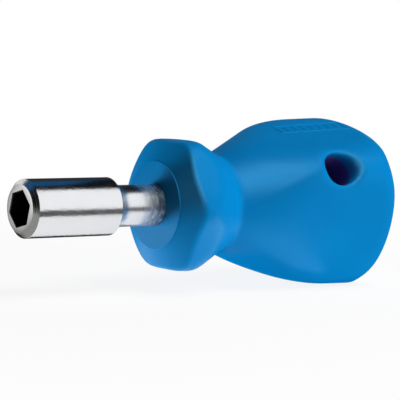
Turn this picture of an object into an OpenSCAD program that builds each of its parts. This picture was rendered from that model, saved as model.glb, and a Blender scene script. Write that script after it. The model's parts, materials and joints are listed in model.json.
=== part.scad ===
// Stubby screwdriver that holds quarter inch hexagon bits: a steel holder moulded into a plastic handle.
// The tool axis runs along X and the mouth of the bit socket is at the origin.
// Two flats of the handle's hexagonal bolster face up and down.

/* [Bit socket] */
// Hexagon of the bits, across flats
bit_af = 6.35; // [5:0.05:7.65]
// Play between a bit and the socket, across flats
bit_play = 0.06; // [0.02:0.01:0.2]
// Depth of the hexagon
socket_depth = 12; // [9:0.5:14.5]
// Turn of the socket's corners about the tool axis
socket_turn = 45; // [0:1:59]
// Chamfer round the mouth of the hexagon
socket_chamfer = 0.2; // [0.1:0.05:0.4]

/* [Steel holder] */
// Diameter of the head
head_d = 11.4; // [11.2:0.1:14]
// Length of the head
head_l = 20.3; // [18:0.1:26]
// Chamfer round the front of the head
nose_chamfer = 1; // [0.4:0.1:1.2]
// Chamfer round the back edge of the head
tail_chamfer = 0.5; // [0.1:0.05:0.8]
// Diameter of the shank
shank_d = 8.2; // [6.8:0.1:9.9]
// Hollow fillet between the shank and the head
shank_fillet = 1; // [0.2:0.1:1.2]
// Chamfer at the buried end of the shank
shank_chamfer = 0.8; // [0.3:0.1:1.5]
// Distance from the mouth of the socket to the handle
reach = 31; // [27:0.1:40]

/* [Anchor in the handle] */
// Length of the two wings pressed out of the shank
wing_l = 11; // [7:0.5:13]
// Span over both wings
wing_span = 11.6; // [10.4:0.2:14]
// Thickness of the wings
wing_t = 3; // [2:0.1:4]
// Length of the slope at each end of a wing
wing_slope = 2; // [1:0.1:3]
// Distance from the face of the handle to the wings
wing_start = 8; // [5:0.5:9.5]
// Gap between the steel and the plastic moulded round it
seat_clear = 0.02; // [0.01:0.01:0.05]

/* [Magnet] */
// Diameter of the magnet at the bottom of the socket
magnet_d = 6; // [4.5:0.1:7.2]
// Length of the magnet
magnet_l = 4; // [2:0.5:5]
// Chamfer on the rims of the magnet
magnet_chamfer = 0.2; // [0.1:0.05:0.4]
// Gap between the magnet and its pocket
magnet_clear = 0.02; // [0.01:0.01:0.1]

/* [Retaining ring] */
// Wire of the split spring ring
ring_wire = 0.9; // [0.6:0.05:1.1]
// Distance from the mouth of the socket to the middle of the ring
ring_x = 4; // [2.5:0.1:6]
// How far the ring stands into the corners of the hexagon
ring_grip = 0.25; // [0.1:0.05:0.35]
// Opening of the split, in degrees
ring_gap = 40; // [20:1:60]
// Room for the ring to spring outwards in its groove
ring_room = 0.15; // [0.1:0.05:0.3]
// Play of the ring along its groove, on each side
ring_play = 0.06; // [0.03:0.01:0.1]

/* [Handle bolster] */
// Raised round land on the face of the handle
land_d = 17.6; // [13:0.1:19.5]
// Height of the land
land_rise = 0.2; // [0.1:0.05:1]
// Chamfer round the land
land_edge = 0.1; // [0.05:0.05:0.1]
// Slope of the face outside the land, in degrees
face_slope = 26.5; // [10:0.5:30]
// Bolster hexagon, across flats
bolster_af = 25.7; // [22:0.1:30]
// Bolster diameter at its face, which rounds the hexagon's corners
bolster_face_d = 27.8; // [26:0.1:32]
// Bolster diameter where it turns down to the neck
bolster_back_d = 28.5; // [26:0.1:34]
// Distance from the foot of the land to that turn
bolster_l = 5.5; // [5:0.1:7]
// Radius of that turn
bolster_round = 8.2; // [4:0.1:8.4]
// Softness of the hexagon's long edges
bolster_blend = 0.8; // [0.2:0.1:1.5]
// Softness of the edge round the face
face_edge = 0.8; // [0.3:0.1:1.2]

/* [Handle neck] */
// Distance from the bolster's turn to the neck
neck_l = 8.5; // [8:0.1:12]
// Diameter at the root of the neck
neck_d = 19.4; // [17:0.1:22]
// Radius of the neck
neck_round = 1.8; // [1:0.1:4]

/* [Handle grip] */
// Distance from the neck to the shoulder of the grip
flare_l = 17.3; // [14.5:0.1:21]
// Diameter at the shoulder
shoulder_d = 36.8; // [31:0.1:43.5]
// Radius of the shoulder
shoulder_round = 27; // [15:0.5:30]
// Distance from the shoulder to the back edge
grip_l = 16.9; // [14.5:0.1:24]
// Diameter at the back edge
back_d = 36.4; // [31:0.1:43.5]
// Radius of the back edge
back_round = 6.4; // [4:0.1:6.8]
// Height of the domed end behind the back edge
dome_h = 4.3; // [3.4:0.1:5.2]
// Diameter where the dome flattens
dome_d = 18.4; // [14:0.1:22]
// Radius of the dome there
dome_round = 20; // [8:1:24]
// Distance from the axis to the four soft flats, at the cross hole
flat_r = 14.5; // [13:0.1:17]
// Rise of the flats towards the back, in mm per mm
flat_rise = 0.093; // [0:0.001:0.12]
// Softness of the flats' edges
flat_blend = 2.6; // [0.6:0.1:3.2]

/* [Cross hole] */
// Diameter of the hole through the grip
hole_d = 7; // [5:0.1:8.4]
// Distance from the end of the handle to the hole
hole_back = 17.3; // [16:0.1:20]
// Turn of the hole about the tool axis, from level
hole_turn = -29; // [-45:1:45]
// Width of the flared mouth round the hole
mouth_flare = 1.2; // [0.8:0.1:3]
// Depth of the flare at the rim of the hole
mouth_dip = 0.45; // [0.2:0.05:1]
// Plastic left between the steel and the hole
hole_web = 3; // [2:0.1:5]

/* [Hidden] */
$fn = 96;
// Points round the handle, steps along each arc of its profile, round its face and along its straight runs
sectors = 60;
arc_steps = 6;
edge_steps = 3;
run_step = 2.2;
// Most of a straight that a fillet may take
fillet_share = 0.98;
// Distance from the edge of the bolster's face to the first ring of its side, in widths of the soft edge
side_share = 1.5;
// Overlap of a cutter past the face that it opens
over = 1;

socket_af = bit_af + bit_play;
socket_corner_r = socket_af / sqrt(3);
shank_r = shank_d / 2;
head_r = head_d / 2;
// The hollow fillet stays on the back face of the head
head_fillet = min(shank_fillet, (head_r - tail_chamfer - shank_r) * fillet_share);

ring_inner_r = socket_corner_r - ring_grip;
ring_mid_r = ring_inner_r + ring_wire / 2;
groove_r = ring_inner_r + ring_wire + ring_room;
groove_w = ring_wire + 2 * ring_play;

face_x = reach + land_rise;
bolster_x = face_x + bolster_l;
neck_x = bolster_x + neck_l;
shoulder_x = neck_x + flare_l;
back_x = shoulder_x + grip_l;
end_x = back_x + dome_h;
hole_x = end_x - hole_back;
shank_end = hole_x - hole_d / 2 - hole_web;
hole_reach = max(shoulder_d, back_d) + 2 * over;

function unit(v) = v / norm(v);

// Round the corner p of the path a, p, b with an arc that uses at most room of each straight
function rounded(a, p, b, radius, room) =
    let (
        u = unit(a - p),
        v = unit(b - p),
        half = acos(u * v) / 2,
        r = min(radius, room * tan(half)),
        centre = p + unit(u + v) * r / sin(half),
        from = p + u * r / tan(half) - centre,
        to = p + v * r / tan(half) - centre,
        first = atan2(from.y, from.x),
        turn = atan2(from.x * to.y - from.y * to.x, from * to)
    )
    [for (i = [0 : arc_steps]) let (a = first + turn * i / arc_steps) centre + r * [cos(a), sin(a)]];

// Add points to the straight runs of a path, so that no step is longer than run_step
function stepped(path) = [
    for (i = [0 : len(path) - 2])
        let (gap = path[i + 1] - path[i], n = ceil(norm(gap) / run_step))
            for (k = [0 : n - 1]) path[i] + gap * k / n,
    path[len(path) - 1]
];

// Least of a and b, blended where they are within k of each other
function soft_min(a, b, k) =
    let (h = min(1, max(0, 0.5 + (a - b) / (2 * k))))
    a * (1 - h) + b * h - k * h * (1 - h);

// Angle from the nearest of the flats that lie every pitch degrees from first
function off_flat(angle, first, pitch) =
    let (d = angle - first + pitch / 2)
    d - pitch * floor(d / pitch) - pitch / 2;

// Profile of the handle as turned, before its flats: distance along the axis and radius
corners = [
    [face_x, bolster_face_d / 2],
    [bolster_x, bolster_back_d / 2],
    [neck_x, neck_d / 2],
    [shoulder_x, shoulder_d / 2],
    [back_x, back_d / 2],
    [end_x, dome_d / 2],
    [end_x, 0]
];
rounds = [0, bolster_round, neck_round, shoulder_round, back_round, dome_round];
function corner_room(i) =
    let (
        before = norm(corners[i] - corners[i - 1]) / (i == 1 ? 1 : 2),
        after = norm(corners[i + 1] - corners[i]) / (i == 5 ? 1 : 2)
    )
    min(before, after) * fillet_share;
turned = stepped([
    corners[0],
    for (i = [1 : 5]) each rounded(corners[i - 1], corners[i], corners[i + 1], rounds[i], corner_room(i))
]);

// Depth of the flared mouths of the cross hole at a point of the grip
function mouth_depth(x, r, angle) =
    let (
        rim = hole_d / 2,
        across = r * sin(off_flat(angle, hole_turn, 180)),
        away = (norm([x - hole_x, across]) - rim) / mouth_flare
    )
    away < 1 ? mouth_dip * pow(1 - max(0, away), 2) : 0;

// Radius of the handle at a point whose turned radius is r
function bolster_r(r, angle) = soft_min(bolster_af / 2 / cos(off_flat(angle, 90, 60)), r, bolster_blend);
function grip_r(x, r, angle) =
    let (
        flat = flat_r + flat_rise * (x - hole_x),
        soft = soft_min(flat / cos(off_flat(angle, hole_turn + 45, 90)), r, flat_blend)
    )
    soft - mouth_depth(x, soft, angle);
function handle_r(x, r, angle) = x < neck_x ? bolster_r(r, angle) : grip_r(x, r, angle);

function around(x, r, angle) = [x, r * cos(angle), r * sin(angle)];

// Point t of the way round the soft edge between the sloping face and the sides of the bolster
function edge_point(angle, t) =
    let (
        r = bolster_r(bolster_face_d / 2, angle),
        x = face_x + (r - land_d / 2) * tan(face_slope),
        r0 = r - face_edge * cos(face_slope),
        x0 = x - face_edge * sin(face_slope),
        s = 1 - t,
        edge_x = x0 * s * s + 2 * x * s * t + (x + face_edge) * t * t,
        edge_r = r0 * s * s + 2 * r * s * t + r * t * t
    )
    around(edge_x, edge_r, angle);

side_x = face_x + (bolster_face_d - land_d) / 2 * tan(face_slope) + side_share * face_edge;
land = [[reach, land_d / 2 - land_edge], [reach + land_edge, land_d / 2], [face_x, land_d / 2]];
angles = [for (i = [0 : sectors - 1]) 360 * i / sectors];
handle_rings = [
    for (p = land) [for (a = angles) around(p.x, p.y, a)],
    for (k = [0 : edge_steps]) [for (a = angles) edge_point(a, k / edge_steps)],
    for (p = turned) if (p.x > side_x) [for (a = angles) around(p.x, handle_r(p.x, p.y, a), a)]
];

// Solid through a list of closed rings with as many points each
module loft(rings) {
    n = len(rings[0]);
    last = len(rings) - 1;
    polyhedron(
        points = [for (ring = rings) each ring],
        faces = [
            [for (i = [0 : n - 1]) i],
            for (k = [0 : last - 1], i = [0 : n - 1])
                let (a = k * n + i, b = k * n + (i + 1) % n)
                    each [[a, a + n, b], [b, a + n, b + n]],
            [for (i = [n - 1 : -1 : 0]) last * n + i]
        ]
    );
}

module along_x() {
    rotate([90, 0, 90])
        children();
}

// Part of the shank that the handle is moulded round, grown by a clearance
module anchor(start, clear) {
    top = wing_span / 2 + clear;
    root = wing_start + reach - clear;
    tip = root + wing_l + 2 * clear;
    translate([start, 0, 0])
        along_x()
            cylinder(r = shank_r + clear, h = shank_end + clear - start);
    linear_extrude(wing_t + 2 * clear, center = true)
        polygon([
            [root, 0], [root + wing_slope, top], [tip - wing_slope, top],
            [tip, 0], [tip - wing_slope, -top], [root + wing_slope, -top]
        ]);
}

module handle() {
    color([0, 0.46, 0.74])
        difference() {
            loft(handle_rings);
            anchor(reach - over, seat_clear);
            translate([hole_x, 0, 0])
                rotate([hole_turn, 0, 0])
                    rotate([90, 0, 0])
                        cylinder(d = hole_d, h = hole_reach, center = true);
        }
}

// Steel as turned: head, hollow fillet and the bare shank up to its chamfered end
module turned_steel() {
    fillet = [for (i = [0 : arc_steps])
        let (a = 180 + 90 * i / arc_steps)
            [shank_r + head_fillet * (1 + cos(a)), head_l + head_fillet * (1 + sin(a))]];
    along_x()
        rotate_extrude()
            polygon([
                [0, 0], [head_r - nose_chamfer, 0], [head_r, nose_chamfer],
                [head_r, head_l - tail_chamfer], [head_r - tail_chamfer, head_l],
                for (i = [arc_steps : -1 : 0]) fillet[i],
                [shank_r, shank_end - shank_chamfer], [shank_r - shank_chamfer, shank_end], [0, shank_end]
            ]);
}

module bit_holder() {
    color("silver")
        difference() {
            union() {
                turned_steel();
                anchor(reach, 0);
            }
            translate([-over, 0, 0])
                along_x()
                    rotate(socket_turn)
                        linear_extrude(over + socket_depth)
                            circle(r = socket_corner_r, $fn = 6);
            translate([-over, 0, 0])
                along_x()
                    rotate(socket_turn)
                        cylinder(
                            r1 = socket_corner_r + socket_chamfer + over,
                            r2 = socket_corner_r,
                            h = over + socket_chamfer,
                            $fn = 6
                        );
            translate([ring_x - groove_w / 2, 0, 0])
                along_x()
                    cylinder(r = groove_r, h = groove_w);
            translate([socket_depth - over, 0, 0])
                along_x()
                    cylinder(d = magnet_d + 2 * magnet_clear, h = over + magnet_l);
        }
}

module magnet() {
    r = magnet_d / 2;
    c = magnet_chamfer;
    color("dimgray")
        translate([socket_depth, 0, 0])
            along_x()
                rotate_extrude()
                    polygon([
                        [0, 0], [r - c, 0], [r, c],
                        [r, magnet_l - c], [r - c, magnet_l], [0, magnet_l]
                    ]);
}

module retaining_ring() {
    color("lightsteelblue")
        translate([ring_x, 0, 0])
            along_x()
                rotate(ring_gap / 2)
                    rotate_extrude(angle = 360 - ring_gap)
                        translate([ring_mid_r, 0])
                            circle(d = ring_wire);
}

handle();
bit_holder();
magnet();
retaining_ring();
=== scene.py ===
import json
import math

import bmesh
import bpy
import numpy as np
from mathutils import Matrix, Vector


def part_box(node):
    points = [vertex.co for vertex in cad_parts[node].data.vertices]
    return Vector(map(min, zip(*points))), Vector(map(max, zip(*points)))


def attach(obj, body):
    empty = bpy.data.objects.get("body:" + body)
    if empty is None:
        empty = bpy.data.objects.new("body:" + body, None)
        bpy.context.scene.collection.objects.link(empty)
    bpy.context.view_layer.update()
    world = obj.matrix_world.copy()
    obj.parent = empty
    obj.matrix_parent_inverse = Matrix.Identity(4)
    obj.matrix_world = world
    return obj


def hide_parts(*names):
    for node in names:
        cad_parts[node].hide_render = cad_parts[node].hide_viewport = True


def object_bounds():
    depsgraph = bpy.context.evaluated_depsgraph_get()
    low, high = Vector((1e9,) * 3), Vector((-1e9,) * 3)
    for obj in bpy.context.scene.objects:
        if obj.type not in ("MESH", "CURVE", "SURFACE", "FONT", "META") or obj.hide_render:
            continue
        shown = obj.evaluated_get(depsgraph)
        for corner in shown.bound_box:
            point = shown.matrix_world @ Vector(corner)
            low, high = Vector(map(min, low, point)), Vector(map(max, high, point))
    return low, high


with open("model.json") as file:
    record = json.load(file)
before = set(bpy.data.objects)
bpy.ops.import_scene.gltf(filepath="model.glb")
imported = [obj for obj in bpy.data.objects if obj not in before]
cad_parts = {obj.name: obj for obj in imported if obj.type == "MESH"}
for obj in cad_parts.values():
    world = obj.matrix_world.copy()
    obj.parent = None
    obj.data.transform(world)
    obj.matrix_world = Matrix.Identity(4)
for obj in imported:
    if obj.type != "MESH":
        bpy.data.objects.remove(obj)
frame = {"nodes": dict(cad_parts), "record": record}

cadLow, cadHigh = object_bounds()  # box of the CAD model, before any piece is added
cadMiddle = (cadLow + cadHigh) / 2
scene = bpy.context.scene
mm = 0.001  # shapes are worked out in millimetres, meshes are in metres
weld = 1e-7  # points closer than this become one
noiseSpan = (0.3, 0.7)  # what a noise texture mostly gives
mounts = {m["name"]: m for m in frame["record"]["mounts"]}
print("frame loaded:", sorted(frame["nodes"]))


def put(tree, kind, wired=None, **settings):  # one node, its options set and its inputs wired or set
    node = tree.nodes.new(kind)
    for key, value in settings.items():
        setattr(node, key, value)
    for key, value in (wired or {}).items():
        if isinstance(value, bpy.types.NodeSocket):
            tree.links.new(value, node.inputs[key])
        else:
            node.inputs[key].default_value = value
    return node


def wire(tree, start, end):
    tree.links.new(start, end)


def calc(tree, operation, *values):
    return put(tree, "ShaderNodeMath", dict(enumerate(values)), operation=operation).outputs[0]


def vectorCalc(tree, operation, *values):
    return put(tree, "ShaderNodeVectorMath", dict(enumerate(values)), operation=operation).outputs


def ramp(tree, value, low, high, outLow, outHigh):  # straight line between two values, held at its ends
    made = put(tree, "ShaderNodeMapRange", {0: value, 1: low, 2: high, 3: outLow, 4: outHigh})
    return made.outputs[0]


def blendColour(tree, share, first, second):
    return put(tree, "ShaderNodeMix", {0: share, 6: first, 7: second}, data_type="RGBA").outputs[2]


def noise(tree, coords, scale, detail, stretch=(1, 1, 1)):
    mapped = put(tree, "ShaderNodeMapping", {"Vector": coords, "Scale": stretch})
    wired = {"Vector": mapped.outputs[0], "Scale": scale, "Detail": detail}
    return put(tree, "ShaderNodeTexNoise", wired).outputs[0]


def fromAxis(tree, coords):  # distance from the tool axis
    across = vectorCalc(tree, "MULTIPLY", coords, (0, 1, 1))["Vector"]
    return vectorCalc(tree, "LENGTH", across)["Value"]


def bumped(tree, height, strength, distance, after=None):
    wired = {"Height": height, "Strength": strength, "Distance": distance}
    if after is not None:
        wired["Normal"] = after
    return put(tree, "ShaderNodeBump", wired).outputs[0]


def textured(tree, shader, texture, roughness, depth):  # roughness and a low bump from one texture
    wire(tree, ramp(tree, texture, *noiseSpan, *roughness), shader.inputs["Roughness"])
    wire(tree, bumped(tree, texture, 1.0, depth), shader.inputs["Normal"])


def newFinish(name):  # empty Principled material with its object coordinates
    finish = bpy.data.materials.new(name)
    finish.use_nodes = True
    tree = finish.node_tree
    coords = put(tree, "ShaderNodeTexCoord")
    return finish, tree, tree.nodes["Principled BSDF"], coords.outputs["Object"]


def newMetal(name, tone):
    finish, tree, shader, coords = newFinish(name)
    shader.inputs["Metallic"].default_value = 1
    shader.inputs["Base Color"].default_value = tone
    return finish, tree, shader, coords


def between(ends, t):
    return ends[0] + (ends[1] - ends[0]) * t


def arcCorner(before, corner, after, radius, step, fewest=5):  # points of the arc that rounds one corner
    before, corner, after = (np.array(p, float) for p in (before, corner, after))
    u = (before - corner) / np.linalg.norm(before - corner)
    v = (after - corner) / np.linalg.norm(after - corner)
    half = math.acos(np.clip(u @ v, -1, 1)) / 2
    centre = corner + (u + v) / np.linalg.norm(u + v) * radius / math.sin(half)
    start = corner + u * radius / math.tan(half) - centre
    end = corner + v * radius / math.tan(half) - centre
    first = math.atan2(start[1], start[0])
    turn = math.atan2(start[0] * end[1] - start[1] * end[0], start @ end)
    count = max(fewest, math.ceil(abs(turn) * radius / step))
    bends = [first + turn * k / count for k in range(count + 1)]
    return [centre + radius * np.array([math.cos(bend), math.sin(bend)]) for bend in bends]


def roundedPath(corners, rounds, step):  # path through the corners, rounded where a radius is given
    path = [np.array(corners[0], float)]
    for k in range(1, len(corners) - 1):
        if rounds[k]:
            path += arcCorner(corners[k - 1], corners[k], corners[k + 1], rounds[k], step)
        else:
            path.append(np.array(corners[k], float))
    path.append(np.array(corners[-1], float))
    dense = [path[0]]
    for a, b in zip(path, path[1:]):  # straight runs get points too
        count = max(1, math.ceil(np.linalg.norm(b - a) / step))
        dense += [a + (b - a) * k / count for k in range(1, count + 1)]
    return np.array(dense)


def softMin(a, b, k):  # least of two values, blended where they are close
    h = np.clip(0.5 + (a - b) / (2 * k), 0, 1)
    return a * (1 - h) + b * h - k * h * (1 - h)


def offFlat(angle, first, sides):  # degrees from the nearest of the flats
    pitch = 360 / sides
    return (angle - first + pitch / 2) % pitch - pitch / 2


def newPiece(name, verts, faces, finishes, edges=()):
    mesh = bpy.data.meshes.new(name)
    mesh.from_pydata([tuple(float(c) * mm for c in v) for v in verts], list(edges), faces)
    piece = bpy.data.objects.new(name, mesh)
    scene.collection.objects.link(piece)
    for finish in finishes:
        mesh.materials.append(finish)
    return piece


def joinRings(faces, last, now):  # band of faces between two closed rings of points
    n = len(now)
    faces.extend((last[k], last[(k + 1) % n], now[(k + 1) % n], now[k]) for k in range(n))


def cleanShell(piece, crispAngle):  # doubles merged, loose points gone, faces outward, crisp edges kept
    shell = bmesh.new()
    shell.from_mesh(piece.data)
    bmesh.ops.remove_doubles(shell, verts=shell.verts, dist=weld)
    bmesh.ops.delete(shell, geom=[v for v in shell.verts if not v.link_faces], context="VERTS")
    bmesh.ops.recalc_face_normals(shell, faces=shell.faces)
    shell.to_mesh(piece.data)
    shell.free()
    piece.data.shade_smooth()
    piece.data.set_sharp_from_angle(angle=math.radians(crispAngle))


def newTree(name, inputs):  # geometry tree with named inputs
    tree = bpy.data.node_groups.new(name, "GeometryNodeTree")
    tree.is_modifier = True
    tree.interface.new_socket("Geometry", in_out="INPUT", socket_type="NodeSocketGeometry")
    for label, kind in inputs.items():
        tree.interface.new_socket(label, in_out="INPUT", socket_type=kind)
    tree.interface.new_socket("Geometry", in_out="OUTPUT", socket_type="NodeSocketGeometry")
    given = tree.nodes.new("NodeGroupInput").outputs
    return tree, given


def addTree(piece, tree, values):  # modifier whose inputs are set by socket identifier
    modifier = piece.modifiers.new(tree.name, "NODES")
    modifier.node_group = tree
    keys = {s.name: s.identifier for s in tree.interface.items_tree if s.in_out == "INPUT"}
    for name, value in values.items():
        modifier[keys[name]] = value


def plainMesh(piece):  # the tree's result as a plain mesh, the modifier gone
    bpy.context.view_layer.update()
    seen = piece.evaluated_get(bpy.context.evaluated_depsgraph_get())
    made = bpy.data.meshes.new_from_object(seen)
    piece.modifiers.clear()
    profile = piece.data
    piece.data = made
    bpy.data.meshes.remove(profile)
    made.name = piece.name


# camera, from the outline and the edges of the tool in the photograph
viewPoint = {
    "azimuth": -36.563,
    "elevation": 5.298,
    "roll": 2.2405,
    "aim": (45.0, 0.0, 0.0),
    "distance": 430.11,
    "lens": 192.05,
    "sensor": 36,
    "clipStart": 0.01,  # metres
    "nudge": (-2.203, 0.665),  # from the aim to the middle of the picture, right and up
}


def placeCamera():
    a, e, roll = (math.radians(viewPoint[k]) for k in ("azimuth", "elevation", "roll"))
    back = Vector((math.sin(a) * math.cos(e), -math.cos(a) * math.cos(e), math.sin(e)))
    across = Vector((math.cos(a), math.sin(a), 0))
    upright = back.cross(across)
    right = math.cos(roll) * across + math.sin(roll) * upright
    up = math.cos(roll) * upright - math.sin(roll) * across
    aim = Vector(viewPoint["aim"])
    place = aim + back * viewPoint["distance"]
    back = (place - aim - right * viewPoint["nudge"][0] - up * viewPoint["nudge"][1]).normalized()
    right = (right - back * right.dot(back)).normalized()
    up = back.cross(right)
    lens = bpy.data.cameras.new("camera")
    lens.lens = viewPoint["lens"]
    lens.sensor_width = viewPoint["sensor"]
    lens.clip_start = viewPoint["clipStart"]
    camera = bpy.data.objects.new("camera", lens)
    turn = Matrix((right, up, back)).transposed().to_4x4()
    camera.matrix_world = Matrix.Translation(place * mm) @ turn
    scene.collection.objects.link(camera)
    scene.camera = camera


placeCamera()
print("camera placed")

reach, handleEnd = (c.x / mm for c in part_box("handle"))
holeX = mounts["cross_hole"]["pos_m"][0] / mm
holeRadius = mounts["cross_hole"]["dims"]["r_mm"]
holeAxis = np.array(mounts["cross_hole"]["axis"])
holeAngle = math.degrees(math.atan2(holeAxis[2], holeAxis[1]))

# moulded plastic of the handle
bluePlastic = {
    "blue": (0.0, 0.19, 0.485, 1),
    "deepBlue": (0.0, 0.17, 0.44, 1),
    "paintedHoleShade": (0.08, 0.05, 0.24, 1),  # painted shade deep in the cross hole
    "holeDepth": (15.4, 14.0),  # from the axis, where that shade begins and is full
    "holeSkin": (0.3, 0.1),  # beyond the wall of the bore, where it ends
    "flow": 60,  # slow variation of the colour, per metre
    "satin": 2600,  # fine spark texture, per metre
    "satinDepth": 0.000006,
    "roughness": (0.36, 0.46),
    "gloss": 0.3,
    "sheen": (0.3, 0.85, 1.0, 1),  # tint of the highlights
}


def makeBluePlastic():
    finish, tree, shader, coords = newFinish("blue_plastic")
    flow = noise(tree, coords, bluePlastic["flow"], 3)
    satin = noise(tree, coords, bluePlastic["satin"], 2)
    flowing = ramp(tree, flow, *noiseSpan, 0, 1)
    tone = blendColour(tree, flowing, bluePlastic["deepBlue"], bluePlastic["blue"])
    # painted shade: the base colour darkens to a dark violet deep in the bore of the cross hole
    fromHole = vectorCalc(tree, "SUBTRACT", coords, (holeX * mm, 0, 0))["Vector"]
    beside = vectorCalc(tree, "CROSS_PRODUCT", fromHole, mounts["cross_hole"]["axis"])["Vector"]
    fromBore = vectorCalc(tree, "LENGTH", beside)["Value"]
    inBore = ramp(tree, fromBore, *((holeRadius + d) * mm for d in bluePlastic["holeSkin"]), 0, 1)
    deep = ramp(tree, fromAxis(tree, coords), *(d * mm for d in bluePlastic["holeDepth"]), 0, 1)
    shade = calc(tree, "MULTIPLY", deep, inBore)
    wire(tree, blendColour(tree, shade, tone, bluePlastic["paintedHoleShade"]), shader.inputs["Base Color"])
    textured(tree, shader, satin, bluePlastic["roughness"], bluePlastic["satinDepth"])
    shader.inputs["Specular IOR Level"].default_value = bluePlastic["gloss"]
    shader.inputs["Specular Tint"].default_value = bluePlastic["sheen"]
    return finish


bluePlasticFinish = makeBluePlastic()

# handle: turned profile with a hexagonal bolster and four soft flats on the grip
handleForm = {
    "seatDia": 8.24,
    "seatEnd": 59.92,
    "landDia": 17.6,
    "landRise": 0.2,
    "landEdge": 0.1,
    "faceSlope": 26.5,
    "bolsterSides": 6,
    "bolsterTurn": 90,  # one of its flats faces up
    "bolsterFlats": 25.7,
    "bolsterFaceDia": 27.8,
    "bolsterBackDia": 28.5,
    "bolsterLength": 5.5,
    "bolsterRound": 8.2,
    "bolsterBlend": 0.8,
    "faceEdge": 1.0,
    "sideFrom": 1.5,  # where the bolster's side begins, in widths of that edge
    "neckLength": 8.5,
    "neckDia": 19.4,
    "neckRound": 1.8,
    "flareLength": 17.3,
    "shoulderDia": 36.74,
    "shoulderRound": 27,
    "gripSides": 4,
    "gripLength": 16.9,
    "backDia": 36.34,
    "backRound": 6.4,
    "domeDia": 18.4,
    "domeRound": 20,
    "flatRadius": 14.5,  # at the cross hole
    "flatRise": 0.093,
    "flatBlend": 2.6,
    "mouthFlare": 2.4,
    "mouthDepth": 0.9,  # where the bore begins, under the lowest point of the ridge round it
    "mouthLevel": 1.5,  # 1 makes that edge level all round, more lowers it along the ridge
    "mouthCurve": (0.42, 0.3),  # how fast the flare closes and how soon it falls
    "mouthRoom": 1.1,  # between the flare and the rings of the grip
    "mouthSteps": (7, 14),  # out to the flare's edge, and down the flare
    "boreSteps": 14,
    "seatSteps": 12,
    "slopeSteps": (0.02, 0.2, 0.4, 0.6, 0.8, 0.97),
    "edgeSteps": 9,
    "sectors": 240,
    "step": 0.45,
    "collarStep": 0.2,
    "heightPasses": 12,
    "crispAngle": 40,
}
faceX = reach + handleForm["landRise"]
bolsterX = faceX + handleForm["bolsterLength"]
neckX = bolsterX + handleForm["neckLength"]
shoulderX = neckX + handleForm["flareLength"]
backX = shoulderX + handleForm["gripLength"]
handleProfile = roundedPath(
    [(faceX, handleForm["bolsterFaceDia"] / 2), (bolsterX, handleForm["bolsterBackDia"] / 2),
     (neckX, handleForm["neckDia"] / 2), (shoulderX, handleForm["shoulderDia"] / 2),
     (backX, handleForm["backDia"] / 2), (handleEnd, handleForm["domeDia"] / 2), (handleEnd, 0)],
    [0, handleForm["bolsterRound"], handleForm["neckRound"], handleForm["shoulderRound"],
     handleForm["backRound"], handleForm["domeRound"], 0], handleForm["step"])


def bolsterRadius(turned, angle):
    off = offFlat(angle, handleForm["bolsterTurn"], handleForm["bolsterSides"])
    flat = handleForm["bolsterFlats"] / 2 / np.cos(np.radians(off))
    return softMin(flat, turned, handleForm["bolsterBlend"])


def gripRadius(x, turned, angle):  # the hole goes through a ridge, half way between two flats
    off = offFlat(angle, holeAngle + 180 / handleForm["gripSides"], handleForm["gripSides"])
    flat = handleForm["flatRadius"] + handleForm["flatRise"] * (x - holeX)
    return softMin(flat / np.cos(np.radians(off)), turned, handleForm["flatBlend"])


def turnedRadius(x):
    return np.interp(x, handleProfile[:, 0], handleProfile[:, 1])


def gripHeight(u, v, mouth):  # height of the grip over the axis, at u along and v across a mouth
    height = np.full_like(u, handleForm["shoulderDia"] / 2)
    for _ in range(handleForm["heightPasses"]):
        angle = mouth + np.degrees(np.arctan2(v, height))
        r = gripRadius(holeX + u, turnedRadius(holeX + u), angle)
        height = np.sqrt(r ** 2 - v ** 2)
    return height


def mouthPoints(u, v, height, mouth):
    c, s = math.cos(math.radians(mouth)), math.sin(math.radians(mouth))
    return np.stack([holeX + u, height * c - v * s, height * s + v * c], -1)


def handleRings(angles):  # x and radius of every ring, from the bottom of the seat round to the end
    form = handleForm
    seat, land, soft = form["seatDia"] / 2, form["landDia"] / 2, form["faceEdge"]
    slope = math.radians(form["faceSlope"])
    flatRing = np.ones_like(angles)
    rings = [(form["seatEnd"] * flatRing, 0 * flatRing)]
    seatX = np.linspace(form["seatEnd"], reach, form["seatSteps"])
    rings += [(x * flatRing, seat * flatRing) for x in seatX]
    collar = roundedPath([(reach, seat), (reach, land), (faceX, land)], [0, form["landEdge"], 0],
                         form["collarStep"])
    rings += [(x * flatRing, r * flatRing) for x, r in collar[1:]]
    edge = bolsterRadius(form["bolsterFaceDia"] / 2, angles)
    edgeX = faceX + (edge - land) * math.tan(slope)
    softX, softR = edgeX - soft * math.sin(slope), edge - soft * math.cos(slope)
    for t in form["slopeSteps"]:  # sloping face
        r = land + (softR - land) * t
        rings.append((faceX + (r - land) * math.tan(slope), r))
    for t in np.linspace(0, 1, form["edgeSteps"]):  # soft edge round the face
        s = 1 - t
        rings.append((softX * s * s + 2 * edgeX * s * t + (edgeX + soft) * t * t,
                      softR * s * s + 2 * edge * s * t + edge * t * t))
    sideX = faceX + (form["bolsterFaceDia"] / 2 - land) * math.tan(slope) + form["sideFrom"] * soft
    for x, r in handleProfile:
        if x > sideX:
            bent = bolsterRadius(r, angles) if x < neckX else gripRadius(x, r, angles)
            rings.append((x * flatRing, bent))
    return np.array([r[0] for r in rings]), np.array([r[1] for r in rings])


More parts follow.
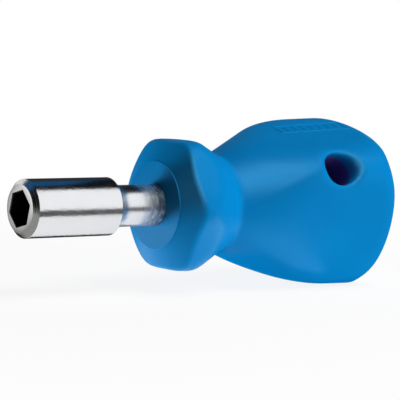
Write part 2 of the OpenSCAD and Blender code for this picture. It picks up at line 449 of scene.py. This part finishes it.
def mouthPatch(verts, faces, index, rows, columns, mouth):  # from a square opening down to the bore
    (i0, i1), (j0, j1) = rows, columns
    count = index.shape[1]
    loop = [(i0, j) for j in range(j0, j1)] + [(i, j1) for i in range(i0, i1)]
    loop += [(i1, j) for j in range(j1, j0, -1)] + [(i, j0) for i in range(i1, i0, -1)]
    last = [index[i, j % count] for i, j in loop]
    start = np.array([verts[k] for k in last])
    c, s = math.cos(math.radians(mouth)), math.sin(math.radians(mouth))
    u, v = start[:, 0] - holeX, -start[:, 1] * s + start[:, 2] * c
    far = np.hypot(u, v)
    flare, (closing, falling) = handleForm["mouthFlare"], handleForm["mouthCurve"]
    outSteps, downSteps = handleForm["mouthSteps"]
    boreTop = gripHeight(holeRadius * u / far, holeRadius * v / far, mouth)
    sink = (boreTop - boreTop.min()) * handleForm["mouthLevel"] + handleForm["mouthDepth"]
    layers = []
    for t in np.linspace(0, 1, outSteps + 1)[1:]:  # from the square to the round edge of the flare
        out = far + (holeRadius + flare - far) * t
        layers.append((out * u / far, out * v / far, 0))
    for t in np.linspace(0, 1, downSteps + 1)[1:]:  # flare, level at its edge and upright at the bore
        w = 1 - t
        out = holeRadius + flare * (w ** 3 + 3 * w * w * t * closing)
        down = sink * (3 * w * t * t * falling + t ** 3)
        layers.append((out * u / far, out * v / far, down))
    for pu, pv, down in layers:
        ring = mouthPoints(pu, pv, gripHeight(pu, pv, mouth) - down, mouth)
        now = list(range(len(verts), len(verts) + len(ring)))
        verts.extend(ring)
        joinRings(faces, last, now)
        last = now
    return last


def makeHandle():
    sectors = handleForm["sectors"]
    angles = holeAngle + np.arange(sectors) * 360 / sectors
    ringX, ringR = handleRings(angles)
    turn = np.radians(angles)
    grid = np.stack([ringX, ringR * np.cos(turn), ringR * np.sin(turn)], -1)
    rings = len(ringX)
    verts = list(grid.reshape(-1, 3))
    index = np.arange(rings * sectors).reshape(rings, sectors)
    room = holeRadius + handleForm["mouthFlare"] + handleForm["mouthRoom"]  # half side of the square
    outer = ringR[:, 0] > holeRadius * 2  # leaves out the seat
    inside = [i for i in range(rings) if abs(ringX[i, 0] - holeX) < room and outer[i]]
    i0, i1 = inside[0], inside[-1]
    across = math.ceil(math.degrees(room / ringR[i0, 0]) / (360 / sectors))
    openings = [(0, holeAngle), (sectors // 2, holeAngle + 180)]
    left = {(i, j % sectors) for middle, _ in openings for i in range(i0, i1)
            for j in range(middle - across, middle + across)}
    faces = [(index[i, j], index[i, (j + 1) % sectors], index[i + 1, (j + 1) % sectors], index[i + 1, j])
             for i in range(rings - 1) for j in range(sectors) if (i, j) not in left]
    rims = [mouthPatch(verts, faces, index, (i0, i1), (middle - across, middle + across), mouth)
            for middle, mouth in openings]
    ends = np.array([verts[k] for k in rims[1]])
    tube = []
    for k in rims[0]:  # bore: each point meets the one straight across
        gap = ends - verts[k]
        sideways = gap - np.outer(gap @ holeAxis, holeAxis)
        tube.append(rims[1][int(np.argmin((sideways ** 2).sum(1)))])
    last, steps = rims[0], handleForm["boreSteps"]
    for step in range(1, steps):
        ring = [verts[a] + (verts[b] - verts[a]) * step / steps for a, b in zip(rims[0], tube)]
        now = list(range(len(verts), len(verts) + len(ring)))
        verts.extend(ring)
        joinRings(faces, last, now)
        last = now
    joinRings(faces, last, tube)
    faces = [tuple(int(k) for k in face) for face in faces]
    piece = newPiece("handle_moulding", verts, faces, [bluePlasticFinish])
    cleanShell(piece, handleForm["crispAngle"])
    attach(piece, "root")
    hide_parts("handle")
    print("handle:", len(piece.data.vertices), "points")


makeHandle()

# plain raised frame on the top flat of the grip, with plain ribs in it
gripMark = {
    "ends": (61.7, 77.4),  # along the tool
    "farEdge": (81.7, 88.0),  # degrees round the axis at its two ends
    "nearEdge": (95.4, 101.9),
    "ribs": 7,
    "ribLength": 0.5,  # share of the frame's width
    "bead": 0.18,  # radius of the round bead
    "sunk": 0.09,
    "sides": 12,
    "points": (60, 14, 6),  # along the frame, across it and on a rib
    "crispAngle": 50,
}


def markTree():  # round bead along every line of the drawn mark
    tree, given = newTree("raised_bead", {"Bead": "NodeSocketFloat", "Sides": "NodeSocketInt",
                                          "Finish": "NodeSocketMaterial"})
    line = put(tree, "GeometryNodeMeshToCurve", {"Mesh": given["Geometry"]})
    section = put(tree, "GeometryNodeCurvePrimitiveCircle",
                  {"Resolution": given["Sides"], "Radius": given["Bead"]}, mode="RADIUS")
    swept = {"Curve": line.outputs[0], "Profile Curve": section.outputs[0], "Fill Caps": True}
    bead = put(tree, "GeometryNodeCurveToMesh", swept)
    solid = put(tree, "GeometryNodeRealizeInstances", {"Geometry": bead.outputs[0]})
    coat = {"Geometry": solid.outputs[0], "Material": given["Finish"]}
    put(tree, "NodeGroupOutput", {0: put(tree, "GeometryNodeSetMaterial", coat).outputs[0]})
    return tree


def markPoint(t, w):  # t along the frame, w across it
    x = between(gripMark["ends"], t)
    angle = between((between(gripMark["farEdge"], t), between(gripMark["nearEdge"], t)), w)
    r = float(gripRadius(x, turnedRadius(x), angle)) - gripMark["sunk"]
    return (x, r * math.cos(math.radians(angle)), r * math.sin(math.radians(angle)))


def makeGripMark():
    alongCount, acrossCount, ribCount = gripMark["points"]
    along, across = np.linspace(0, 1, alongCount), np.linspace(0, 1, acrossCount)
    verts = [markPoint(t, 0) for t in along] + [markPoint(1, w) for w in across[1:]]
    verts += [markPoint(t, 1) for t in along[::-1][1:]] + [markPoint(0, w) for w in across[::-1][1:-1]]
    edges = [(k, (k + 1) % len(verts)) for k in range(len(verts))]
    half = gripMark["ribLength"] / 2
    for k in range(gripMark["ribs"]):  # plain ribs, evenly spaced
        t = (k + 1) / (gripMark["ribs"] + 1)
        first = len(verts)
        verts += [markPoint(t, w) for w in np.linspace(0.5 - half, 0.5 + half, ribCount)]
        edges += [(j, j + 1) for j in range(first, len(verts) - 1)]
    piece = newPiece("grip_mark", verts, [], [], edges)
    addTree(piece, markTree(), {"Bead": gripMark["bead"] * mm, "Sides": gripMark["sides"],
                                "Finish": bluePlasticFinish})
    plainMesh(piece)
    cleanShell(piece, gripMark["crispAngle"])
    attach(piece, "root")
    print("grip mark:", len(piece.data.vertices), "points")


makeGripMark()

# steel holder: turned outside, hexagon socket inside
holderForm = {
    "headDia": 11.4,
    "headLength": 20.3,
    "noseChamfer": 1.0,
    "noseCrown": 0.07,  # how far the rim of the nose falls back
    "tailChamfer": 0.5,
    "shankDia": 8.2,
    "blendLength": 2.0,  # cone behind the head that runs into the shank
    "blendRise": 0.45,
    "blendRound": 7.0,
    "endChamfer": 0.8,
    "socketFlats": 6.41,
    "socketDepth": 12.0,
    "socketTurn": 45,
    "socketChamfer": 0.2,
    "socketRim": 0.1,  # flat ring round that chamfer's corners
    "socketFrom": 0.5,  # first ring behind that chamfer
    "socketSteps": (5, 8),  # before and behind the groove
    "grooveAt": 4.0,
    "grooveWidth": 1.02,
    "grooveRadius": 4.5,
    "pocketDia": 6.04,
    "pocketDepth": 4.0,
    "edge": 0.12,  # small round on the turned edges
    "knurlFrom": 27.6,  # fine knurl next to the handle
    "knurlTo": 31.0,
    "knurlFade": 0.5,
    "knurlDepth": 0.04,
    "knurlCount": 46,
    "knurlStep": 0.08,
    "step": 0.5,
    "segments": 300,
    "margin": 0.05,  # past an edge, where the finish changes
    "tailMargin": 0.02,
    "crownMargin": 0.01,
    "crispAngle": 35,
}
chromeLook = {
    "tone": (0.80, 0.81, 0.83, 1),
    "roughness": (0.15, 0.25),
    "haze": 260,
    "hazeSpan": (0.3, 0.75),
    "ripple": 1900,
    "rippleDepth": 0.000025,
    "streaks": (7000, 90, 90),  # per metre, along the tool and across
    "streakDepth": 0.0000012,
}
knurlLook = {
    "tone": (0.84, 0.85, 0.87, 1),
    "worn": (0.3, 0.31, 0.33, 1),
    "wornSpan": (0.68, 0.44),  # of the grit
    "roughness": (0.26, 0.44),
    "metal": 0.85,
    "from": (25.6, 29.6),  # where it begins and is full
    "grit": 1500,
    "gritStretch": (1.5, 0.6, 0.6),
    "gritDepth": 0.00006,
}
noseLook = {"tone": (0.85, 0.86, 0.84, 1), "roughness": (0.2, 0.32), "rings": 5200, "depth": 0.000004}
# dark tone inside the hexagon socket: unplated broached steel, and in part painted shade
socketLook = {"tone": (0.10, 0.10, 0.105, 1), "roughness": (0.35, 0.5), "marks": (120, 2400, 2400),
              "depth": 0.000006}


def makeChrome():
    finish, tree, shader, coords = newMetal("bright_chrome", chromeLook["tone"])
    streaks = noise(tree, coords, 1.0, 2, chromeLook["streaks"])
    ripple = noise(tree, coords, chromeLook["ripple"], 3)
    haze = noise(tree, coords, chromeLook["haze"], 3)
    dull = ramp(tree, haze, *chromeLook["hazeSpan"], *chromeLook["roughness"])
    wire(tree, dull, shader.inputs["Roughness"])
    waved = bumped(tree, ripple, 1.0, chromeLook["rippleDepth"])
    wire(tree, bumped(tree, streaks, 1.0, chromeLook["streakDepth"], waved), shader.inputs["Normal"])
    return finish


def makeKnurl():  # goes over from the chrome of the shank
    finish, tree, shader, coords = newFinish("knurled_steel")
    along = put(tree, "ShaderNodeSeparateXYZ", {0: coords}).outputs[0]
    share = ramp(tree, along, *(x * mm for x in knurlLook["from"]), 0, 1)
    grit = noise(tree, coords, knurlLook["grit"], 4, knurlLook["gritStretch"])
    worn = calc(tree, "MULTIPLY", share, ramp(tree, grit, *knurlLook["wornSpan"], 0, 1))
    tone = blendColour(tree, worn, knurlLook["tone"], knurlLook["worn"])
    wire(tree, tone, shader.inputs["Base Color"])
    wire(tree, ramp(tree, share, 0, 1, 1, knurlLook["metal"]), shader.inputs["Metallic"])
    wire(tree, ramp(tree, share, 0, 1, *knurlLook["roughness"]), shader.inputs["Roughness"])
    wire(tree, bumped(tree, grit, share, knurlLook["gritDepth"]), shader.inputs["Normal"])
    return finish


def makeNose():  # fine rings left by the turning
    finish, tree, shader, coords = newMetal("turned_steel", noseLook["tone"])
    wired = {"W": fromAxis(tree, coords), "Scale": noseLook["rings"], "Detail": 2.0}
    rings = put(tree, "ShaderNodeTexNoise", wired, noise_dimensions="1D").outputs[0]
    textured(tree, shader, rings, noseLook["roughness"], noseLook["depth"])
    return finish


def makeSocket():
    # the low tone is partly painted shade inside the socket, partly the darker bare steel
    finish, tree, shader, coords = newMetal("broached_steel_and_painted_shade", socketLook["tone"])
    marks = noise(tree, coords, 1.0, 2, socketLook["marks"])
    textured(tree, shader, marks, socketLook["roughness"], socketLook["depth"])
    return finish


def holderTree():  # spins the profile round the tool axis; y of a point says how hexagonal its ring is
    inputs = {label: "NodeSocketInt" for label in ("Rings", "Segments")}
    for label in ("First angle", "Crown", "Nose", "Head end", "Socket radius", "Socket end",
                  "Knurl from", "Knurl to", "Knurl fade", "Knurl depth", "Knurl count", "Knurl wave"):
        inputs[label] = "NodeSocketFloat"
    for label in ("Chrome", "Knurled", "Turned", "Broached"):
        inputs[label] = "NodeSocketMaterial"
    tree, given = newTree("turned_holder", inputs)
    across = calc(tree, "ADD", given["Segments"], 1.0)
    grid = put(tree, "GeometryNodeMeshGrid", {"Vertices X": given["Rings"], "Vertices Y": across})
    number = put(tree, "GeometryNodeInputIndex").outputs[0]
    split = {0: number, 1: across}
    ring = put(tree, "FunctionNodeIntegerMath", split, operation="DIVIDE_FLOOR").outputs[0]
    sector = put(tree, "FunctionNodeIntegerMath", split, operation="MODULO").outputs[0]
    place = put(tree, "GeometryNodeInputPosition").outputs[0]
    sample = put(tree, "GeometryNodeSampleIndex", {"Geometry": given["Geometry"], "Index": ring},
                 data_type="FLOAT_VECTOR", domain="POINT")
    wire(tree, place, next(s for s in sample.inputs if s.name == "Value" and s.enabled))
    point = next(s for s in sample.outputs if s.name == "Value" and s.enabled)
    x, hexShare, turned = put(tree, "ShaderNodeSeparateXYZ", {0: point}).outputs

    turn = calc(tree, "MULTIPLY", calc(tree, "DIVIDE", sector, given["Segments"]), math.tau)
    side = calc(tree, "SUBTRACT", calc(tree, "MODULO", turn, math.pi / 3), math.pi / 6)
    flat = calc(tree, "DIVIDE", math.cos(math.pi / 6), calc(tree, "COSINE", side))
    share = calc(tree, "MULTIPLY_ADD", calc(tree, "SUBTRACT", flat, 1.0), hexShare, 1.0)
    risen = calc(tree, "ADD", given["Knurl from"], given["Knurl fade"])
    falls = calc(tree, "SUBTRACT", given["Knurl to"], given["Knurl fade"])
    rise = ramp(tree, x, given["Knurl from"], risen, 0.0, 1.0)
    fall = ramp(tree, x, falls, given["Knurl to"], 1.0, 0.0)
    waves = calc(tree, "MULTIPLY", turn, given["Knurl count"])
    climb = calc(tree, "MULTIPLY", x, given["Knurl wave"])
    ridges = []
    for way in ("ADD", "SUBTRACT"):  # two sets of grooves that cross
        half = calc(tree, "MULTIPLY", calc(tree, way, waves, climb), 0.5)
        ridges.append(calc(tree, "ABSOLUTE", calc(tree, "SINE", half)))
    groove = calc(tree, "SUBTRACT", 1.0, calc(tree, "MINIMUM", *ridges))
    groove = calc(tree, "MULTIPLY", groove, given["Knurl depth"])
    groove = calc(tree, "MULTIPLY", groove, calc(tree, "MULTIPLY", rise, fall))
    radius = calc(tree, "SUBTRACT", calc(tree, "MULTIPLY", turned, share), groove)
    angle = calc(tree, "ADD", turn, given["First angle"])
    y = calc(tree, "MULTIPLY", radius, calc(tree, "COSINE", angle))
    z = calc(tree, "MULTIPLY", radius, calc(tree, "SINE", angle))
    spun = put(tree, "ShaderNodeCombineXYZ", {0: x, 1: y, 2: z}).outputs[0]
    skin = put(tree, "GeometryNodeSetPosition", {"Geometry": grid.outputs[0], "Position": spun})
    shell = put(tree, "GeometryNodeMergeByDistance", {"Geometry": skin.outputs[0], "Distance": weld})
    solid = put(tree, "GeometryNodeRealizeInstances", {"Geometry": shell.outputs[0]})

    spotX, spotY, spotZ = put(tree, "ShaderNodeSeparateXYZ", {0: place}).outputs
    squares = calc(tree, "MULTIPLY_ADD", spotY, spotY, calc(tree, "MULTIPLY", spotZ, spotZ))
    narrow = calc(tree, "LESS_THAN", calc(tree, "SQRT", squares), given["Socket radius"])
    shallow = calc(tree, "LESS_THAN", spotX, given["Socket end"])
    behind = calc(tree, "GREATER_THAN", spotX, given["Crown"])
    chosen = {
        "Chrome": None,
        "Knurled": calc(tree, "GREATER_THAN", spotX, given["Head end"]),
        "Turned": calc(tree, "LESS_THAN", spotX, given["Nose"]),
        "Broached": calc(tree, "MULTIPLY", narrow, calc(tree, "MULTIPLY", shallow, behind)),
    }
    last = solid.outputs[0]
    for label, selection in chosen.items():  # each finish goes over the ones before it
        coat = {"Geometry": last, "Material": given[label]}
        if selection is not None:
            coat["Selection"] = selection
        last = put(tree, "GeometryNodeSetMaterial", coat).outputs[0]
    put(tree, "NodeGroupOutput", {0: last})
    return tree


def holderProfile():  # x, hexagon share and radius of every ring, from the buried end to the magnet
    form = holderForm
    shank, head, edge = form["shankDia"] / 2, form["headDia"] / 2, form["edge"]
    length, bevel = form["headLength"], form["endChamfer"]
    nose, tail = form["noseChamfer"], form["tailChamfer"]
    corner, pocket = form["socketFlats"] / math.sqrt(3), form["pocketDia"] / 2
    mouth = corner + form["socketChamfer"]
    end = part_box("bit_holder")[1].x / mm
    outside = [((end, 0), 0), ((end, shank - bevel), edge), ((end - bevel, shank), edge)]
    knurl = np.arange(form["knurlTo"], form["knurlFrom"], -form["knurlStep"])
    outside += [((x, shank), 0) for x in knurl]
    outside += [((length + form["blendLength"], shank), form["blendRound"]),
                ((length + edge, shank + form["blendRise"]), edge),
                ((length, head - tail), edge),
                ((length - tail, head), edge),
                ((nose, head), edge),
                ((form["noseCrown"], head - nose), edge),
                ((0, mouth + form["socketRim"]), 0)]
    path = roundedPath([p for p, _ in outside], [r for _, r in outside], form["step"])
    rings = [(x, 0, r) for x, r in path]
    g0, g1 = form["grooveAt"] - form["grooveWidth"] / 2, form["grooveAt"] + form["grooveWidth"] / 2
    depth, (before, behind) = form["socketDepth"], form["socketSteps"]
    bottom = depth + form["pocketDepth"]
    rings += [(0, 1, mouth), (form["socketChamfer"], 1, corner)]
    rings += [(x, 1, corner) for x in np.linspace(form["socketFrom"], g0, before)]
    rings += [(g0, 0, form["grooveRadius"]), (g1, 0, form["grooveRadius"])]
    rings += [(x, 1, corner) for x in np.linspace(g1, depth, behind)]
    rings += [(depth, 0, pocket), (bottom, 0, pocket), (bottom, 0, 0)]
    return rings


def makeHolder():
    form = holderForm
    rings = holderProfile()
    mesh = bpy.data.meshes.new("holder_profile")
    mesh.from_pydata([(x * mm, share, r * mm) for x, share, r in rings],
                     [(k, k + 1) for k in range(len(rings) - 1)], [])
    piece = bpy.data.objects.new("holder_steel", mesh)
    scene.collection.objects.link(piece)
    addTree(piece, holderTree(), {
        "Rings": len(rings),
        "Segments": form["segments"],
        "First angle": math.radians(form["socketTurn"]),
        "Crown": (form["noseCrown"] + form["crownMargin"]) * mm,
        "Nose": (form["noseChamfer"] + form["margin"]) * mm,
        "Head end": (form["headLength"] + form["tailMargin"]) * mm,
        "Socket radius": (form["grooveRadius"] + form["margin"]) * mm,
        "Socket end": (form["socketDepth"] + form["pocketDepth"] + form["margin"]) * mm,
        "Knurl from": form["knurlFrom"] * mm,
        "Knurl to": form["knurlTo"] * mm,
        "Knurl fade": form["knurlFade"] * mm,
        "Knurl depth": form["knurlDepth"] * mm,
        "Knurl count": float(form["knurlCount"]),
        "Knurl wave": form["knurlCount"] / (form["shankDia"] / 2) / mm,
        "Chrome": makeChrome(),
        "Knurled": makeKnurl(),
        "Turned": makeNose(),
        "Broached": makeSocket(),
    })
    plainMesh(piece)
    cleanShell(piece, form["crispAngle"])
    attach(piece, "root")
    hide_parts("bit_holder")
    print("holder:", len(piece.data.vertices), "points")


makeHolder()

# magnet and spring ring keep their CAD shape
magnetLook = {"tone": (0.36, 0.36, 0.38, 1), "roughness": (0.3, 0.45), "grain": 1500, "depth": 0.000004}
springLook = {"tone": (0.55, 0.56, 0.58, 1), "roughness": (0.2, 0.32), "grain": 2200, "depth": 0.000003}


def grainedMetal(name, look):
    finish, tree, shader, coords = newMetal(name, look["tone"])
    grain = noise(tree, coords, look["grain"], 3)
    textured(tree, shader, grain, look["roughness"], look["depth"])
    return finish


for nodeName, look in (("magnet", magnetLook), ("retaining_ring", springLook)):
    node = frame["nodes"][nodeName]
    node.data.materials.clear()
    node.data.materials.append(grainedMetal(nodeName + "_metal", look))
print("magnet and ring finished")

# white floor, lamps, and cards that only reflections see
studio = {
    "ambient": 0.05,
    "floorSize": 3.0,
    "floorGap": 0.0001,  # under the tool
    "floorTone": 0.85,
    "floorBounce": 0.3,  # tone of the floor in the light that it throws back on the tool
    "floorGlow": 0.87,  # share of the floor near the tool that is seen as plain white
    "floorFade": (0.07, 0.2),  # the rest of it goes between these distances from the tool
    "lampDistance": 0.6,
    "cardDistance": 0.5,  # of the cards that are given by their directions
    "cardCentre": (0.042, 0.0, 0.0),
}
lamps = {
    "top_light": {"azimuth": -45, "elevation": 60, "size": (0.4, 0.4), "radiance": 6.2},
    "low_light": {"azimuth": -62, "elevation": 6, "size": (0.3, 0.3), "radiance": 9.0},
    "face_light": {"azimuth": 142, "elevation": -18, "size": (0.15, 0.15), "radiance": 37},
    "rear_light": {"azimuth": 105, "elevation": -15, "size": (0.25, 0.25), "radiance": 15},
    "under_light": {"azimuth": -62, "elevation": -66, "size": (0.4, 0.4), "radiance": 6.8},
    "back_light": {"azimuth": 75, "elevation": 28, "size": (0.4, 0.3), "radiance": 2.0},
}


def direction(azimuth, elevation):
    az, el = math.radians(azimuth), math.radians(elevation)
    return Vector((math.cos(az) * math.cos(el), math.sin(az) * math.cos(el), math.sin(el)))


def fourCorners(us, vs):
    return [(us[0], vs[0]), (us[1], vs[0]), (us[1], vs[1]), (us[0], vs[1])]


def level(corners, z):
    return [(x, y, z) for x, y in corners]


def lying(xs, ys, z):
    return level(fourCorners(xs, ys), z)


def standing(start, end, heights):
    return [(*start, heights[0]), (*end, heights[0]), (*end, heights[1]), (*start, heights[1])]


def facing(azimuths, elevations):  # by its directions from the middle of the tool
    ways = [direction(a, e) for a, e in fourCorners(azimuths, elevations)]
    return [Vector(studio["cardCentre"]) + way * studio["cardDistance"] for way in ways]


leftX, rightX, frontY, backY = -0.8, 0.85, -0.85, 0.75  # dark room round the tool
wide, deep, tall = (leftX, rightX), (frontY, backY), (-0.02, 0.8)
onFloor, overFlags, overPatches, overAll = -0.0165, -0.0164, -0.0163, -0.016  # cards by the floor
stripFront, stripBack, patchBack = -0.036, 0.0075, 0.008  # bare strip between the flags
cards = {  # tone, the piece that it shines on, corners
    "soft_card": (1.05, "holder", [(0.12, -0.45, -0.03), (0.47, -0.25, -0.03),
                                   (0.33, -0.04, 0.42), (0.06, -0.2, 0.45)]),
    "front_flag": (0.09, "holder", lying(wide, (frontY, stripFront), onFloor)),
    "back_flag": (0.22, "holder", lying(wide, (stripBack, 0.06), onFloor)),
    "far_flag": (0.4, "holder", lying(wide, (0.06, backY), onFloor)),
    "grip_flag": (0.0, None, level([(0.06, stripFront), (rightX, stripFront),
                                    (rightX, patchBack), (0.045, patchBack)], overFlags)),
    "top_flag": (0.004, "holder", lying((-0.5, 0.7), (-0.06, 0.3), 0.3)),
    "blue_card": ((0.01, 0.07, 0.18), "holder", level([(-0.06, 0.005), (0.044, 0.0075),
                                                       (0.064, 0.05), (-0.06, 0.05)], 0.06)),
    "ridge_card": (7.0, "handle", facing((-142, -88), (28, 68))),
    "edge_card": (4.0, "handle", facing((-175, -140), (5, 35))),
    "floor_card": (2.2, "handle", lying((0.046, 0.068), (-0.024, -0.012), overAll)),
    "face_card": (1.7, "handle", standing((-0.005, 0.034), (0.024, 0.034), (onFloor, -0.004))),
    "slope_card": (0.9, "handle", lying((0.0, 0.036), (stripBack, 0.034), overPatches)),
    "nose_card": (0.9, "holder", standing((-0.149, 0.013), (-0.075, 0.13), (overFlags, 0.05))),
    "nose_flag": (0.3, "holder", standing((-0.075, 0.13), (-0.005, 0.15), (overFlags, 0.05))),
    "chin_flag": (0.28, "holder", lying((-0.06, -0.001), (stripFront, patchBack), overFlags)),
    "rear_card": (0.8, "holder", standing((-0.2, 0.5), (0.2, 0.5), (0.06, 0.42))),
    "left_wall": (0.03, None, standing((leftX, frontY), (leftX, backY), tall)),
    "right_wall": (0.03, None, standing((rightX, frontY), (rightX, backY), tall)),
    "back_wall": (0.03, None, standing((leftX, backY), (rightX, backY), tall)),
    "front_wall": (0.03, None, standing((leftX, frontY), (rightX, frontY), tall)),
    "ceiling": (0.03, None, lying(wide, deep, tall[1])),
}
litPieces = {"holder": ["holder_steel"], "handle": ["handle_moulding", "grip_mark"]}


def seenPlain(tree, path):  # 1 for the camera, in reflections and through glass, else 0
    mirrored = calc(tree, "MAXIMUM", path["Is Glossy Ray"], path["Is Transmission Ray"])
    return calc(tree, "MAXIMUM", path["Is Camera Ray"], mirrored)


def softLight(name, plan):
    out = direction(plan["azimuth"], plan["elevation"])
    lamp = bpy.data.lights.new(name, "AREA")
    lamp.shape = "RECTANGLE"
    lamp.size, lamp.size_y = plan["size"]
    lamp.energy = plan["radiance"] * math.pi * plan["size"][0] * plan["size"][1]
    stand = bpy.data.objects.new(name, lamp)
    aimed = out.to_track_quat("Z", "Y").to_matrix().to_4x4()
    stand.matrix_world = Matrix.Translation(cadMiddle + out * studio["lampDistance"]) @ aimed
    stand.visible_camera = False
    stand.visible_glossy = False  # reflections come from the cards
    scene.collection.objects.link(stand)


def floorFinish():
    finish, tree, shader, coords = newFinish("white_floor")
    tree.nodes.remove(shader)
    path = put(tree, "ShaderNodeLightPath").outputs
    under = (cadMiddle.x, cadMiddle.y, cadLow.z)
    away = vectorCalc(tree, "DISTANCE", coords, under)["Value"]
    plain = ramp(tree, away, *studio["floorFade"], studio["floorGlow"], 1)
    share = calc(tree, "MULTIPLY", seenPlain(tree, path), plain)
    tone = ramp(tree, path["Is Diffuse Ray"], 0, 1, studio["floorTone"], studio["floorBounce"])
    matt = put(tree, "ShaderNodeBsdfDiffuse", {"Color": tone})
    glow = put(tree, "ShaderNodeEmission", {"Color": (1, 1, 1, 1), "Strength": 1.0})
    mixed = put(tree, "ShaderNodeMixShader", {0: share, 1: matt.outputs[0], 2: glow.outputs[0]})
    wire(tree, mixed.outputs[0], tree.nodes["Material Output"].inputs["Surface"])
    return finish


def makeFloor():
    half, z = studio["floorSize"] / 2 / mm, (cadLow.z - studio["floorGap"]) / mm
    floor = newPiece("floor", lying((-half, half), (-half, half), z), [(0, 1, 2, 3)], [floorFinish()])
    floor.visible_shadow = False  # the face light comes from below, as through a glass table


def makeCards():
    lit = {}
    for key, names in litPieces.items():  # light linking
        lit[key] = bpy.data.collections.new("lit_" + key)
        for name in names:
            lit[key].objects.link(bpy.data.objects[name])
    for name, (tone, shinesOn, corners) in cards.items():
        tone = (*tone, 1) if isinstance(tone, tuple) else (tone, tone, tone, 1)
        finish, _, shader, _ = newFinish(name)
        shader.inputs["Base Color"].default_value = (0, 0, 0, 1)
        shader.inputs["Specular IOR Level"].default_value = 0
        shader.inputs["Emission Color"].default_value = tone
        shader.inputs["Emission Strength"].default_value = 1
        card = newPiece(name, [tuple(c / mm for c in p) for p in corners], [(0, 1, 2, 3)], [finish])
        card.visible_camera = card.visible_diffuse = card.visible_shadow = False
        card.visible_transmission = card.visible_volume_scatter = False
        if shinesOn:
            card.light_linking.receiver_collection = lit[shinesOn]


def makeWorld():
    world = bpy.data.worlds.new("studio")
    scene.world = world
    world.use_nodes = True
    tree = world.node_tree
    path = put(tree, "ShaderNodeLightPath").outputs
    strength = ramp(tree, seenPlain(tree, path), 0, 1, studio["ambient"], 1)
    wire(tree, strength, tree.nodes["Background"].inputs["Strength"])
    tree.nodes["Background"].inputs["Color"].default_value = (1, 1, 1, 1)
    scene.view_settings.view_transform = "Standard"


makeFloor()
makeCards()
for lampName, lampPlan in lamps.items():
    softLight(lampName, lampPlan)
makeWorld()
print("studio lit")
